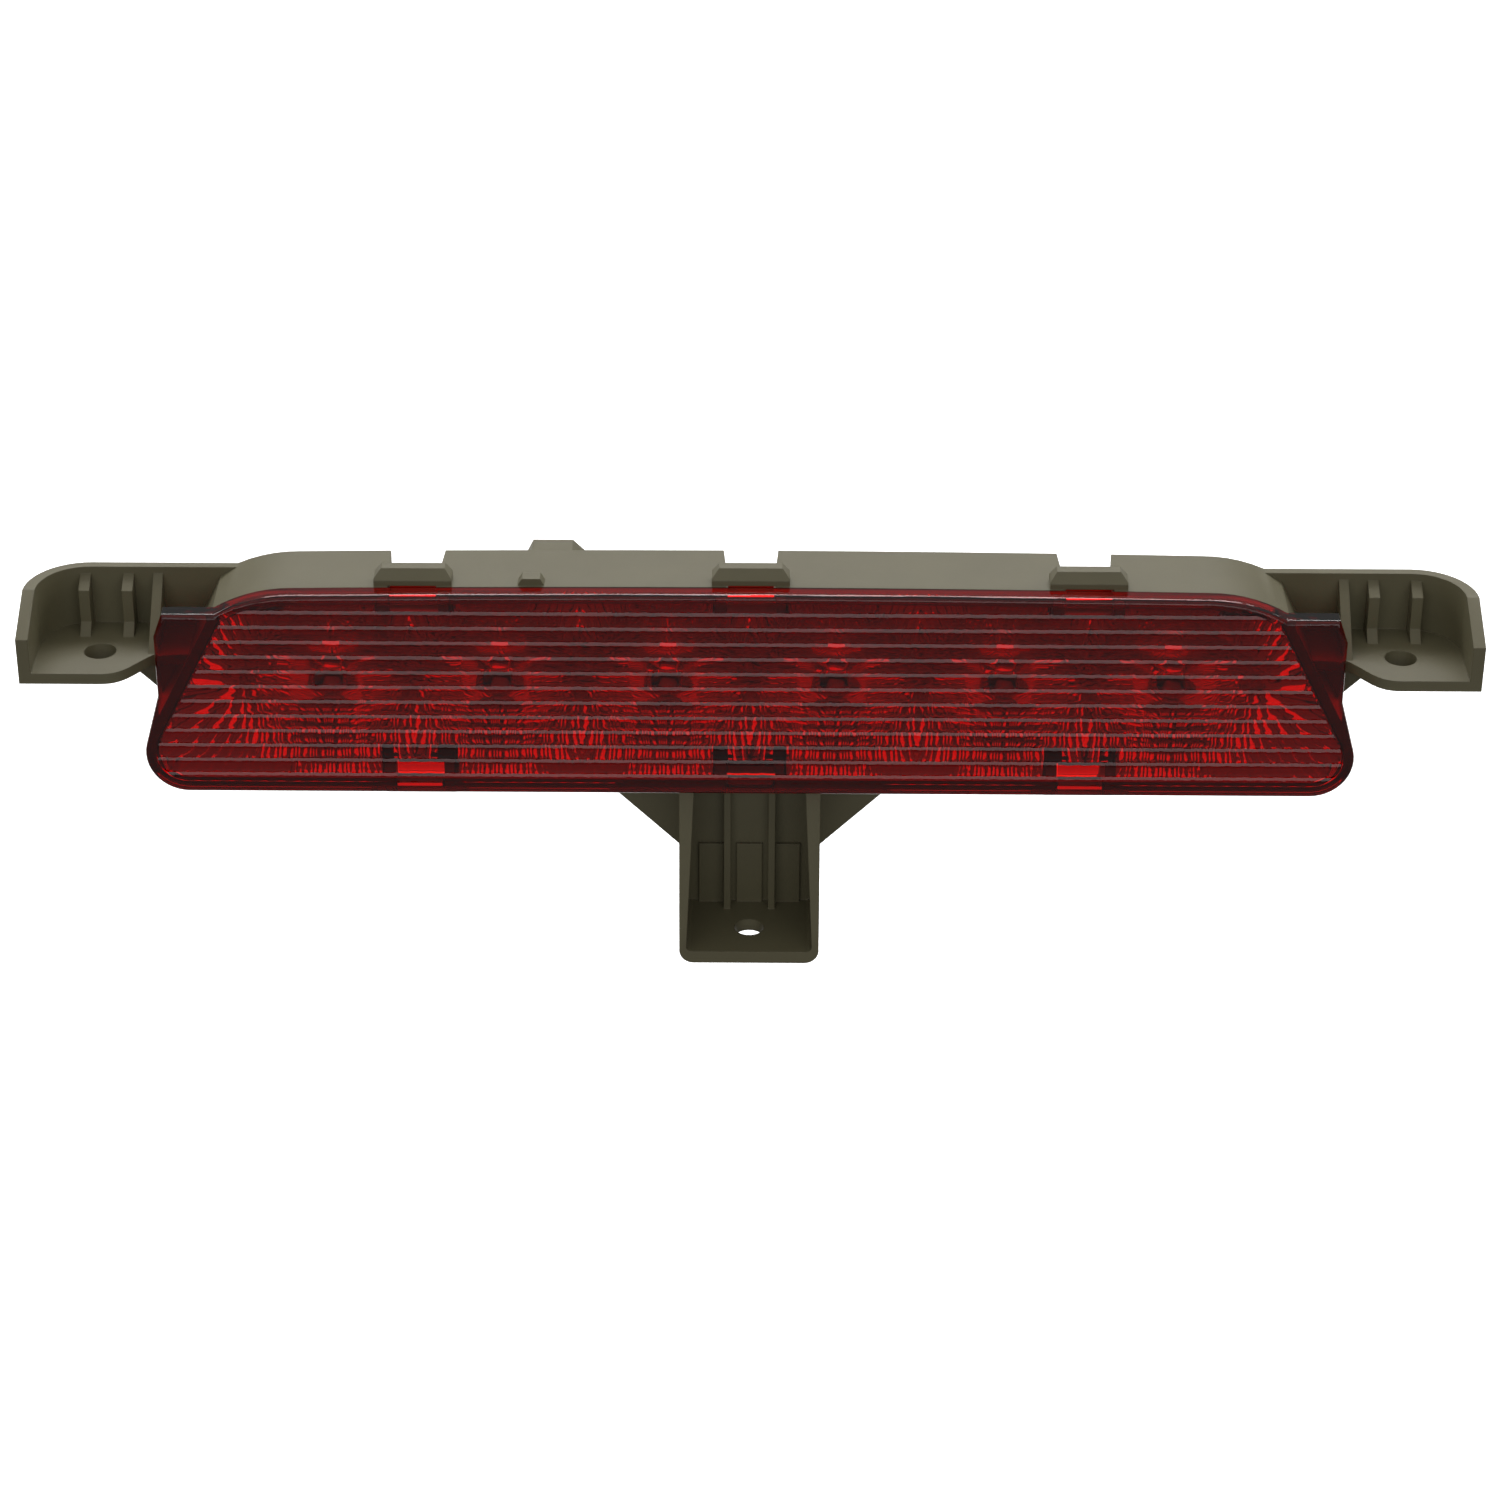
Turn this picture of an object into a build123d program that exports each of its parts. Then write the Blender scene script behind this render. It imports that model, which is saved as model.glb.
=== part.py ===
from build123d import *
import os
from math import cos, radians, sin

# Third brake light: a red lens snapped on a moulded housing that has an ear at each end and a
# bracket below, with a reflector and a six-lamp circuit board inside.
# Frame: origin on the axis of the bracket's screw hole, at the seat face under its floor.
# +X to the right as seen from in front of the lens, +Y away from the viewer, +Z up.

# ---- driving dimensions, mm -------------------------------------------------------------------
face_y = -7.6                    # front of the lens
plate_back_y = face_y + 2.5      # back of the lens's face plate
skirt_back_y = face_y + 4.1      # lens skirt meets the housing wall
rear_y = face_y + 20.3           # rear plane of housing, ears and bracket
wall = 2.0
rear_wall = 1.8
floor_y = rear_y - rear_wall     # inside of the rear wall

lens_half_width = 123.6
lens_bottom_z = 39.6
lens_top_z = 85.7
led_z = (lens_bottom_z + lens_top_z) / 2
crown_half_width = 92.0          # the top edge is crowned between the two shoulders
crown_drop = 0.7
shoulder_z = 80.3                # the crown's corners end here
shoulder_radius = 30.0
side_lean = 26.9                 # degrees that each side leans in from vertical
lower_corner_radius = 8.6
skirt_wall = 2.6
front_edge_radius = 1.2

tab_top_z = 80.6
tab_foot_z = 61.8                # below this the side runs out to the lower corner
tab_foot_angle = 15.3            # degrees round the lower corner where that side meets it
tab_half_width = 120.2

snap_pitch = 67.9                # snaps on the centre line and one either side of it
snap_half_slot = 5.0
snap_flare = 0.6                 # each side of a slot opens this much towards the rear
snap_flare_y = face_y + 12.0
snap_pocket_depth = 5.0
loop_back_y = face_y + 8.6
upper_loop_width = 15.6
upper_loop_corner = (1.4, 1.6)   # width and height cut off each end of an upper loop
lower_loop_width = 20.2
lower_loop_corner = (3.0, 3.0)
loop_height = 3.2                # stands this far out of the wall
loop_lip = 1.3                   # upright front of a loop, below its ramp
pocket_wall = 1.6
arm_half_width = 4.6
arm_thickness = 1.75
arm_gap = 0.45                   # arm surface below the housing's outer surface
hook_height = 1.2

ear_half_span = 147.1
ear_front_y = -11.5
ear_floor_z = 67.1               # underside of the ear's floor
ear_floor = 2.3
ear_rim_z = 82.2
ear_rim_front_z = 77.05
ear_wall = 2.0
ear_side_wall = 2.5
ear_corner_radius = 12.4
ear_rib_xs = (127.1, 135.9)
ear_rib = 2.2
ear_end_rib_x = 121.1
ear_hole_x = 132.0
ear_hole_y = -1.8
ear_hole_diameter = 6.5
ear_boss_diameter = 11.0
ear_boss_z = 65.2                # seat face under the ear

ear_root_x = 100.0               # each ear starts inside the body, which is added after it
ear_nose_x = 130.8               # the straight front ends here, then sweeps back to the body
ear_neck_x = 116.0
ear_neck_y = face_y + 6.0
ear_rib_steps = (6.0, 8.5)       # depth of a rib under its step, and at its foot
ear_web = 2.0                    # web between the ear's floor and the lens's end

bracket_half_width = 14.6
bracket_floor = 2.75
bracket_front_y = -9.7
bracket_post_z = 9.1             # top of the upright front of the side walls
bracket_hole_diameter = 6.2
bracket_mouth_half_width = 11.4  # inside, at the top
bracket_floor_half_width = 13.2  # inside, at the floor
bracket_outer_radius = 3.0
bracket_inner_radius = 1.2
bracket_rib_x = 4.7
bracket_rib = 1.45
bracket_rib_depth = (2.0, 3.5, 3.8)  # at the top, above the foot and at the floor
bracket_pads = ((-8.1, 5.2), (0.0, 5.4), (8.1, 5.2))  # place and width
bracket_pad_top_z = 17.2
bracket_pad_depth = 0.8
gusset_half_width = 39.2
gusset_foot_z = 16.4

led_count = 6
led_pitch = 34.35
led_axis_xs = [(i - (led_count - 1) / 2) * led_pitch for i in range(led_count)]

rim_front_y = face_y + 4.6       # front of the reflector
rim_back_y = rim_front_y + 1.4
bowl_vertex_y = face_y + 11.6
bowl_wall = 1.3
bowl_focal_4f = 100.0
collar_front_y = face_y + 7.5
collar_base_radius = 4.1
collar_tip_radius = 3.4
lamp_hole_radius = 2.8
pocket_clearance = 0.4           # between the reflector's notches and the snap pockets
peg_radius = 1.5
peg_play = 0.15

board_front_y = face_y + 15.0
board = 1.6
board_back_y = board_front_y + board
board_half_length = 100.0
board_bottom_z = 50.4
board_top_z = 76.4
board_screw_xs = (-led_pitch, 0.0, led_pitch)
peg_xs = (-2 * led_pitch, 2 * led_pitch)

led_body = 7.6
led_body_height = 2.0
led_dome_radius = 2.5
led_dome_tip_y = face_y + 8.9

plug_x = -40.2
plug_z = 73.2
shroud_width = 17.0
shroud_height = 11.5
shroud_wall = 1.5
shroud_back_y = rear_y + 10.5
latch_half_width = 6.2           # the latch housing stands on the shroud
latch_shoulder = 2.8
latch_top_z = plug_z + 9.4
window_width = 13.4
window_height = 7.4
header_back_y = rear_y + 2.0
pin_spacing = 5.0
pin_width = 1.5
pin_thickness = 0.8
pin_back_y = rear_y + 7.5

pip_x = -44.15
pip_base = 6.3
pip_tip = 3.7
pip_height = 1.3
pip_depth = 2.9

screw_head_radius = 2.7
screw_head = 1.9
screw_shank_radius = 1.25
screw_shank = 4.0
screw_socket_radius = 1.5        # hexagon, to its corners
screw_socket = 1.0


def upright(y):
    """Sketch plane square to the Y axis at y: local x is X, local y is Z; extrudes towards -Y."""
    return Plane.XZ.offset(-y)


def sideways(x):
    """Sketch plane square to the X axis at x: local x is Y, local y is Z; extrudes towards +X."""
    return Plane.YZ.offset(x)


def level(z):
    return Plane.XY.offset(z)


# Points of the right half of the lens outline
corner_x = lens_half_width - lower_corner_radius
corner_z = lens_bottom_z + lower_corner_radius
lean = radians(side_lean)
side_foot = (corner_x + lower_corner_radius * cos(lean), corner_z + lower_corner_radius * sin(lean))
shoulder = (side_foot[0] - (shoulder_z - side_foot[1]) * sin(lean) / cos(lean), shoulder_z)
crown_end_z = lens_top_z - crown_drop


def crown_z(x):
    """Height of the crowned top edge at x, between the shoulders."""
    return lens_top_z - crown_drop * (x / crown_half_width) ** 2


# ---- lens outline, used by lens, housing and reflector ---------------------------------------
with BuildSketch() as outline:
    with BuildLine():
        ThreePointArc((-crown_half_width, crown_end_z), (0, lens_top_z), (crown_half_width, crown_end_z))
        for side in (-1, 1):
            RadiusArc((side * crown_half_width, crown_end_z), (side * shoulder[0], shoulder[1]),
                      side * shoulder_radius)
            Line((side * shoulder[0], shoulder[1]), (side * side_foot[0], side_foot[1]))
            RadiusArc((side * side_foot[0], side_foot[1]), (side * corner_x, lens_bottom_z),
                      side * lower_corner_radius)
        Line((-corner_x, lens_bottom_z), (corner_x, lens_bottom_z))
    make_face()


def tab_points(side, inset):
    """Outline of one side tab of the lens, drawn in by inset."""
    return [(side * (shoulder[0] - 6 + 2 * inset), tab_top_z - inset),
            (side * (tab_half_width - 1.9 - inset), tab_top_z - inset),
            (side * (tab_half_width - inset), tab_top_z - 5.2),
            (side * (tab_half_width - inset), tab_foot_z),
            (side * (corner_x + (lower_corner_radius - inset) * cos(radians(tab_foot_angle))),
             corner_z + (lower_corner_radius - inset) * sin(radians(tab_foot_angle)))]


# ---- housing ----------------------------------------------------------------------------------
with BuildPart() as housing:
    for side in (-1, 1):
        # Ear: a tray with a back wall, an outer side wall and an open front
        with BuildSketch(level(ear_floor_z)) as ear_plan:
            with BuildLine():
                Polyline((side * ear_root_x, ear_neck_y), (side * ear_root_x, rear_y),
                         (side * (ear_half_span - ear_corner_radius), rear_y))
                RadiusArc((side * (ear_half_span - ear_corner_radius), rear_y),
                          (side * ear_half_span, rear_y - ear_corner_radius), side * ear_corner_radius)
                Polyline((side * ear_half_span, rear_y - ear_corner_radius),
                         (side * ear_half_span, ear_front_y), (side * ear_nose_x, ear_front_y))
                Spline((side * ear_nose_x, ear_front_y), (side * (ear_nose_x - 4.6), ear_front_y + 1.8),
                       (side * (ear_nose_x - 7.6), ear_front_y + 5.6),
                       (side * (ear_nose_x - 10.2), skirt_back_y + 0.6),
                       (side * ear_neck_x, ear_neck_y), tangents=[(-side, 0), (-side, 0.1)])
                Line((side * ear_neck_x, ear_neck_y), (side * ear_root_x, ear_neck_y))
            make_face()
        extrude(amount=ear_rim_z - ear_floor_z)
        inner_radius = ear_corner_radius - ear_side_wall
        inner_x = ear_half_span - ear_side_wall
        cut_x = ear_root_x - 10
        with BuildSketch(level(ear_floor_z + ear_floor)):
            with BuildLine():
                Polyline((side * cut_x, ear_front_y - 5), (side * cut_x, rear_y - ear_wall),
                         (side * (inner_x - inner_radius), rear_y - ear_wall))
                RadiusArc((side * (inner_x - inner_radius), rear_y - ear_wall),
                          (side * inner_x, rear_y - ear_wall - inner_radius), side * inner_radius)
                Polyline((side * inner_x, rear_y - ear_wall - inner_radius),
                         (side * inner_x, ear_front_y - 5), (side * cut_x, ear_front_y - 5))
            make_face()
        extrude(amount=ear_rim_z, mode=Mode.SUBTRACT)
        # Rim of the side wall runs down to the front
        with BuildSketch(sideways(side * ear_half_span)):
            Polygon((rear_y - ear_corner_radius, ear_rim_z), (ear_front_y, ear_rim_front_z),
                    (ear_front_y - 2, ear_rim_front_z), (ear_front_y - 2, ear_rim_z + 2),
                    (rear_y - ear_corner_radius, ear_rim_z + 2), align=None)
        extrude(amount=-side * 10, mode=Mode.SUBTRACT)
        # Two stepped ribs between back wall and floor
        floor_top = ear_floor_z + ear_floor
        for rib_x in ear_rib_xs:
            with BuildSketch(sideways(side * rib_x)):
                Polygon((rear_y - 1, ear_rim_z - 1.5), (rear_y - ear_wall, ear_rim_z - 1.5),
                        (rear_y - ear_rib_steps[0], ear_rim_z - 3.5),
                        (rear_y - ear_rib_steps[0], floor_top + 2.2),
                        (rear_y - ear_rib_steps[1], floor_top),
                        (rear_y - ear_rib_steps[1], ear_floor_z + 1),
                        (rear_y - 1, ear_floor_z + 1), align=None)
            extrude(amount=ear_rib / 2, both=True)
        # Web next to the lens, sloping from the back wall to the floor's front
        with BuildSketch(sideways(side * ear_end_rib_x)):
            Polygon((rear_y - 1, ear_rim_z - 1.4), (rear_y - ear_wall, ear_rim_z - 1.4),
                    (face_y + 4.6, floor_top), (face_y + 4.6, ear_floor_z + 1),
                    (rear_y - 1, ear_floor_z + 1), align=None)
        extrude(amount=ear_web / 2, both=True)
        # Screw boss under the ear
        with BuildSketch(level(ear_boss_z)):
            with Locations((side * ear_hole_x, ear_hole_y)):
                Circle(ear_boss_diameter / 2)
        extrude(amount=floor_top - ear_boss_z)
        # Rear web under the ear
        with BuildSketch(upright(rear_y)):
            Polygon((side * 105, ear_floor_z + 1), (side * (ear_half_span - 10.1), ear_floor_z + 1),
                    (side * (lens_half_width - 2.2), lens_bottom_z + 13), (side * 105, lens_bottom_z + 13),
                    align=None)
        extrude(amount=rear_wall)

    # Bracket: an upright channel with a floor, open in front
    with BuildSketch(upright(rear_y)) as bracket_front:
        with Locations((0, (lens_bottom_z + 1) / 2)):
            Rectangle(2 * bracket_half_width, lens_bottom_z + 1)
        fillet(bracket_front.vertices().group_by(Axis.Y)[0], bracket_outer_radius)
    extrude(amount=rear_y - bracket_front_y)
    with BuildSketch(upright(floor_y)) as bracket_inside:
        Polygon((-bracket_mouth_half_width, lens_bottom_z + 2),
                (bracket_mouth_half_width, lens_bottom_z + 2),
                (bracket_floor_half_width, bracket_floor), (-bracket_floor_half_width, bracket_floor),
                align=None)
        fillet(bracket_inside.vertices().group_by(Axis.Y)[0], bracket_inner_radius)
    extrude(amount=floor_y - bracket_front_y + 1, mode=Mode.SUBTRACT)
    with BuildSketch(sideways(0)):
        Polygon((bracket_front_y, bracket_post_z), (skirt_back_y + 0.5, lens_bottom_z + 1),
                (skirt_back_y + 0.5, lens_bottom_z + 5), (bracket_front_y - 2, lens_bottom_z + 5),
                (bracket_front_y - 2, bracket_post_z), align=None)
    extrude(amount=bracket_half_width + 1, both=True, mode=Mode.SUBTRACT)
    for side in (-1, 1):
        with BuildSketch(sideways(side * bracket_rib_x)):
            Polygon((floor_y + 1, lens_bottom_z + 1), (floor_y - bracket_rib_depth[0], lens_bottom_z + 1),
                    (floor_y - bracket_rib_depth[1], bracket_floor + 5),
                    (floor_y - bracket_rib_depth[2], bracket_floor - 1),
                    (floor_y + 1, bracket_floor - 1), align=None)
        extrude(amount=bracket_rib / 2, both=True)
        # Gusset between bracket and housing, in the rear plane
        with BuildSketch(upright(rear_y)):
            Polygon((side * 10, lens_bottom_z + 1), (side * gusset_half_width, lens_bottom_z + 1),
                    (side * bracket_half_width, gusset_foot_z), (side * 10, gusset_foot_z), align=None)
        extrude(amount=rear_wall)
    # Thickened pads on the channel's back wall
    for pad_x, pad_width in bracket_pads:
        with BuildSketch(upright(floor_y + 0.5)):
            with Locations((pad_x, bracket_pad_top_z / 2)):
                Rectangle(pad_width, bracket_pad_top_z)
        extrude(amount=0.5 + bracket_pad_depth)

    # Body: the outline drawn back from the lens skirt to the rear plane, hollow from the front
    with BuildSketch(upright(rear_y)):
        add(outline.sketch)
    extrude(amount=rear_y - skirt_back_y)
    with BuildSketch(upright(floor_y)):
        add(outline.sketch)
        offset(amount=-wall, mode=Mode.REPLACE)
    extrude(amount=floor_y - skirt_back_y, mode=Mode.SUBTRACT)

    # Snap pockets in the top and bottom walls, each bridged by a loop
    for x in (-snap_pitch, 0.0, snap_pitch):
        for up, edge_z, loop_width, corner in (
                (1, crown_z(x), upper_loop_width, upper_loop_corner),
                (-1, lens_bottom_z, lower_loop_width, lower_loop_corner)):
            inner_z = edge_z - up * snap_pocket_depth
            with BuildSketch(upright(rear_y)):
                with Locations((x, inner_z + up * (snap_pocket_depth - 0.8 - pocket_wall) / 2)):
                    Rectangle(2 * (snap_half_slot + snap_flare + pocket_wall),
                              snap_pocket_depth - 0.8 + pocket_wall)
            extrude(amount=rear_y - skirt_back_y)
            # Loop: its ends are cut off at the corners and its front edge is a ramp
            loop_top = edge_z + up * loop_height
            with BuildSketch(upright(loop_back_y)):
                Polygon((x - loop_width / 2, edge_z - up), (x - loop_width / 2, loop_top - up * corner[1]),
                        (x - loop_width / 2 + corner[0], loop_top),
                        (x + loop_width / 2 - corner[0], loop_top),
                        (x + loop_width / 2, loop_top - up * corner[1]), (x + loop_width / 2, edge_z - up),
                        align=None)
            extrude(amount=loop_back_y - skirt_back_y - 0.2)
            with BuildSketch(sideways(x)):
                Polygon((skirt_back_y, edge_z + up * (loop_lip - 0.2)),
                        (skirt_back_y + loop_height - loop_lip + 1.2, loop_top + up),
                        (skirt_back_y, loop_top + up), align=None)
            extrude(amount=loop_width / 2 + 1, both=True, mode=Mode.SUBTRACT)
            with BuildSketch(level(inner_z)):
                Polygon((x - snap_half_slot, skirt_back_y - 1), (x + snap_half_slot, skirt_back_y - 1),
                        (x + snap_half_slot, snap_flare_y),
                        (x + snap_half_slot + snap_flare, rear_y + 1),
                        (x - snap_half_slot - snap_flare, rear_y + 1),
                        (x - snap_half_slot, snap_flare_y), align=None)
            extrude(amount=up * (snap_pocket_depth + 0.15), mode=Mode.SUBTRACT)

    # Locating pip on the top wall
    with BuildSketch(upright(skirt_back_y + 3.5)):
        Polygon((pip_x - pip_base / 2, lens_top_z - 1), (pip_x + pip_base / 2, lens_top_z - 1),
                (pip_x + pip_tip / 2, lens_top_z + pip_height),
                (pip_x - pip_tip / 2, lens_top_z + pip_height), align=None)
    extrude(amount=pip_depth)

    # Ledges that carry the reflector's rim
    for x in (-95.0, -led_pitch, led_pitch, 95.0):
        for ledge_z in (lens_bottom_z + wall + 1.0, crown_end_z - wall - 0.5):
            with BuildSketch(upright(floor_y + 0.5)):
                with Locations((x, ledge_z)):
                    Rectangle(3.0, 2.6)
            extrude(amount=floor_y + 0.5 - rim_back_y - 0.05)

    # Board bosses and peg sockets on the rear wall
    for x in board_screw_xs:
        with BuildSketch(upright(floor_y + 0.5)):
            with Locations((x, led_z)):
                Circle(3.5)
        extrude(amount=floor_y + 0.5 - board_back_y)

    # Connector shroud on the rear, with a latch housing above it
    with BuildSketch(upright(shroud_back_y)):
        with Locations((plug_x, plug_z)):
            RectangleRounded(shroud_width, shroud_height, 1.5)
        Polygon((plug_x - latch_half_width, plug_z + 4), (plug_x + latch_half_width, plug_z + 4),
                (plug_x + latch_half_width, latch_top_z - latch_shoulder),
                (plug_x + latch_half_width - latch_shoulder, latch_top_z),
                (plug_x - latch_half_width + latch_shoulder / 2, latch_top_z),
                (plug_x - latch_half_width, latch_top_z - latch_shoulder), align=None)
    extrude(amount=shroud_back_y - rear_y + 0.5)
    with BuildSketch(upright(shroud_back_y)):
        with Locations((plug_x, plug_z)):
            RectangleRounded(shroud_width - 2 * shroud_wall, shroud_height - 2 * shroud_wall, 0.8)
        with Locations((plug_x - 0.6, plug_z + 5.9)):
            Rectangle(4.6, 4.0)
    extrude(amount=shroud_back_y - rear_y, mode=Mode.SUBTRACT)
    with BuildSketch(upright(rear_y)):
        with Locations((plug_x, plug_z)):
            Rectangle(window_width, window_height)
    extrude(amount=rear_wall, mode=Mode.SUBTRACT)

    # Screw holes of ears and bracket, and pilot holes for the board screws
    for side in (-1, 1):
        with Locations((side * ear_hole_x, ear_hole_y, ear_floor_z + ear_floor)):
            Hole(ear_hole_diameter / 2, depth=ear_floor_z + ear_floor - ear_boss_z)
    with Locations((0, 0, bracket_floor)):
        Hole(bracket_hole_diameter / 2, depth=bracket_floor)
    with BuildSketch(upright(board_back_y)):
        for x in board_screw_xs:
            with Locations((x, led_z)):
                Circle(screw_shank_radius)
    extrude(amount=-(screw_shank - board + 0.2), mode=Mode.SUBTRACT)
housing.part.label = "housing"

# ---- lens -------------------------------------------------------------------------------------
with BuildPart() as lens:
    with BuildSketch(upright(skirt_back_y)):
        add(outline.sketch)
        for side in (-1, 1):
            Polygon(*tab_points(side, 0), align=None)
    extrude(amount=skirt_back_y - face_y)
    front_edges = lens.faces().sort_by(Axis.Y)[0].edges()
    fillet(front_edges, front_edge_radius)
    with BuildSketch(upright(skirt_back_y)):
        add(outline.sketch)
        offset(amount=-skirt_wall, mode=Mode.REPLACE)
    extrude(amount=skirt_back_y - plate_back_y, mode=Mode.SUBTRACT)
    # Six snap arms that run back from the skirt and hook behind the loops
    for x in (-snap_pitch, 0.0, snap_pitch):
        for up, edge_z in ((1, crown_z(x)), (-1, lens_bottom_z)):
            outer_z = edge_z - up * arm_gap
            with BuildSketch(sideways(x)):
                Polygon((skirt_back_y - 0.8, outer_z), (loop_back_y + 0.15, outer_z),
                        (loop_back_y + 0.15, outer_z + up * hook_height),
                        (loop_back_y + 0.7, outer_z + up * hook_height),
                        (loop_back_y + 2.2, outer_z - up * 0.5),
                        (loop_back_y + 2.2, outer_z - up * arm_thickness),
                        (skirt_back_y - 0.8, outer_z - up * arm_thickness), align=None)
            extrude(amount=arm_half_width, both=True)
lens.part.label = "lens"

# ---- reflector --------------------------------------------------------------------------------
bowl_reach = 40                  # the bowl's curve is drawn this far out from its axis


def bowl_curve(vertex_y):
    """Section of a bowl from its rim to its vertex: a paraboloid about the lamp's axis."""
    points = [(r, vertex_y - r ** 2 / bowl_focal_4f) for r in (bowl_reach, 30, 20, 10, 0)]
    Line((0, vertex_y), (0, bowl_vertex_y - 20))
    Line((0, bowl_vertex_y - 20), (bowl_reach, bowl_vertex_y - 20))
    Line((bowl_reach, bowl_vertex_y - 20), points[0])
    Spline(points, tangents=[(-1, 2 * bowl_reach / bowl_focal_4f), (-1, 0)])


with BuildPart() as bowl_core:
    # Space behind one bowl, at the origin: the cell's box less everything in front of its back
    with BuildSketch(upright(bowl_vertex_y + bowl_wall + 0.01)):
        Rectangle(led_pitch - 1.2, 60)
    extrude(amount=bowl_vertex_y + bowl_wall - rim_back_y - 1.0)
    with BuildSketch(Plane.XY):
        with BuildLine():
            bowl_curve(bowl_vertex_y + bowl_wall)
        make_face()
    revolve(axis=Axis.Y, mode=Mode.SUBTRACT)

with BuildPart() as reflector:
    with BuildSketch(upright(rim_back_y)):
        add(outline.sketch)
        offset(amount=-wall - 0.35, mode=Mode.REPLACE)
    extrude(amount=rim_back_y - rim_front_y)
    with BuildSketch(upright(bowl_vertex_y + bowl_wall)):
        add(outline.sketch)
        offset(amount=-wall - 2.9, mode=Mode.REPLACE)
    extrude(amount=bowl_vertex_y + bowl_wall - rim_back_y)
    # Bowls: paraboloids about each lamp axis, open to the front
    for x in led_axis_xs:
        with BuildSketch(Plane((x, 0, led_z), x_dir=(1, 0, 0), z_dir=(0, 0, 1))):
            with BuildLine():
                bowl_curve(bowl_vertex_y)
            make_face()
        revolve(axis=Axis((x, 0, led_z), (0, 1, 0)), mode=Mode.SUBTRACT)
    for x in led_axis_xs:
        with Locations((x, 0, led_z)):
            add(bowl_core.part, mode=Mode.SUBTRACT)
    # Collar and hole for each lamp
    for x in led_axis_xs:
        with BuildSketch(Plane((x, 0, led_z), x_dir=(1, 0, 0), z_dir=(0, 0, 1))):
            Polygon((lamp_hole_radius, collar_front_y), (collar_tip_radius, collar_front_y),
                    (collar_base_radius, bowl_vertex_y + 0.4), (lamp_hole_radius, bowl_vertex_y + 0.4),
                    align=None)
        revolve(axis=Axis((x, 0, led_z), (0, 1, 0)))
    with BuildSketch(upright(bowl_vertex_y + bowl_wall + 0.5)):
        for x in led_axis_xs:
            with Locations((x, led_z)):
                Circle(lamp_hole_radius)
    extrude(amount=bowl_vertex_y + bowl_wall + 0.5 - collar_front_y + 0.5, mode=Mode.SUBTRACT)
    # Clearance round the snap pockets
    with BuildSketch(upright(rear_y)):
        for x in (-snap_pitch, 0.0, snap_pitch):
            for up, edge_z in ((1, crown_end_z), (-1, lens_bottom_z)):
                with Locations((x, edge_z - up * 2.4)):
                    Rectangle(2 * (snap_half_slot + snap_flare + pocket_wall + pocket_clearance), 10.0)
    extrude(amount=rear_y - face_y, mode=Mode.SUBTRACT)
    # Pegs that locate the board
    with BuildSketch(upright(board_back_y - 0.3)):
        for x in peg_xs:
            with Locations((x, led_z)):
                Circle(peg_radius)
    extrude(amount=board_back_y - 0.3 - (bowl_vertex_y - 2.4))
reflector.part.label = "reflector"

# ---- circuit board ----------------------------------------------------------------------------
with BuildPart() as circuit_board:
    with BuildSketch(upright(board_back_y)):
        with Locations((0, (board_bottom_z + board_top_z) / 2)):
            RectangleRounded(2 * board_half_length, board_top_z - board_bottom_z, 1.5)
        for x in board_screw_xs:
            with Locations((x, led_z)):
                Circle(1.6, mode=Mode.SUBTRACT)
        for x in peg_xs:
            with Locations((x, led_z)):
                Circle(peg_radius + peg_play, mode=Mode.SUBTRACT)
    extrude(amount=board)
circuit_board.part.label = "circuit_board"

# ---- lamps ------------------------------------------------------------------------------------
led_parts = []
for number, x in enumerate(led_axis_xs, start=1):
    with BuildPart() as led_base:
        with BuildSketch(upright(board_front_y)):
            with Locations((x, led_z)):
                Rectangle(led_body, led_body)
        extrude(amount=led_body_height)
        chamfer(led_base.edges().filter_by(Axis.Y).sort_by(Axis.X)[0], 1.2)
        with BuildSketch(upright(board_front_y)):
            for foot_x in (-1, 1):
                for foot_z in (-1, 1):
                    with Locations((x + foot_x * (led_body / 2 + 0.5), led_z + foot_z * 2.2)):
                        Rectangle(1.2, 1.4)
        extrude(amount=0.4)
    led_base.part.label = f"led_body_{number}"
    with BuildPart() as led_dome:
        with BuildSketch(Plane((x, 0, led_z), x_dir=(1, 0, 0), z_dir=(0, 0, 1))):
            with BuildLine():
                dome_base_y = board_front_y - led_body_height
                Line((0, dome_base_y), (led_dome_radius, dome_base_y))
                Line((led_dome_radius, dome_base_y), (led_dome_radius, led_dome_tip_y + led_dome_radius))
                RadiusArc((led_dome_radius, led_dome_tip_y + led_dome_radius), (0, led_dome_tip_y),
                          led_dome_radius)
                Line((0, led_dome_tip_y), (0, dome_base_y))
            make_face()
        revolve(axis=Axis((x, 0, led_z), (0, 1, 0)))
    led_dome.part.label = f"led_dome_{number}"
    led_parts += [led_base.part, led_dome.part]

# ---- board components -------------------------------------------------------------------------
component_parts = []
resistor_xs = [-2 * led_pitch, -led_pitch, 0.0, led_pitch, 2 * led_pitch, 2 * led_pitch + 22.0]
for number, x in enumerate(resistor_xs, start=1):
    with BuildPart() as resistor:
        with BuildSketch(upright(board_front_y)):
            with Locations((x, board_bottom_z + 4.5)):
                Rectangle(6.4, 3.2)
        extrude(amount=0.7)
        chamfer(resistor.faces().sort_by(Axis.Y)[0].edges(), 0.15)
    resistor.part.label = f"resistor_{number}"
    component_parts.append(resistor.part)

with BuildPart() as reverse_diode:
    with BuildSketch(upright(board_front_y)):
        with Locations((-led_pitch, board_top_z - 4.5)):
            Rectangle(4.4, 2.7)
    extrude(amount=1.9)
    chamfer(reverse_diode.faces().sort_by(Axis.Y)[0].edges(), 0.3)
reverse_diode.part.label = "reverse_diode"

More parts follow.
